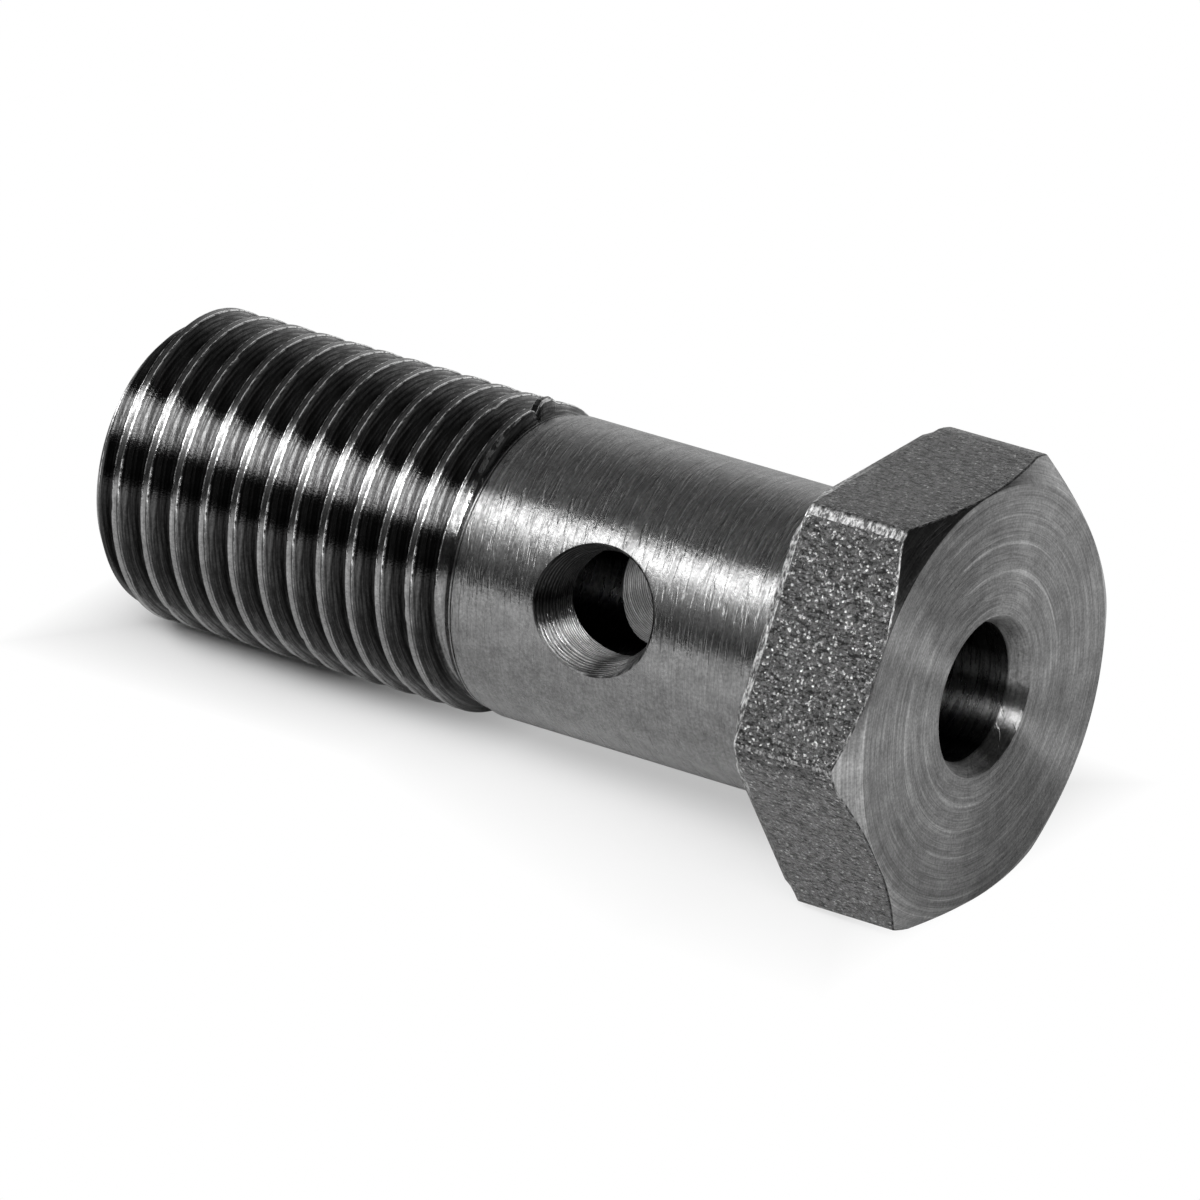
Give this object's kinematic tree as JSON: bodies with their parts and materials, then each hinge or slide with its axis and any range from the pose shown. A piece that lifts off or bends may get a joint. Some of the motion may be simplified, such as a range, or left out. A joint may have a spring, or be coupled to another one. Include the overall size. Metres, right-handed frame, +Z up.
{
  "type": "banjo bolt",
  "caption": "Hollow hexagon bolt for a banjo fitting, bored through along its axis, with a cross port in its plain shank and a thread below it.",
  "frame": {"origin": "centre of the bounding box's base, on the plane that the bolt lies on", "axes": "+X along the bolt's length towards the head, +Z up; the bolt's axis rises towards the head by the angle at which it lies"},
  "size_m": [0.0294, 0.0142, 0.0128],
  "materials": {
    "steel": "bare turned steel"
  },
  "bodies": {
    "root": {"banjo_bolt": "steel"}
  },
  "joints": []
}
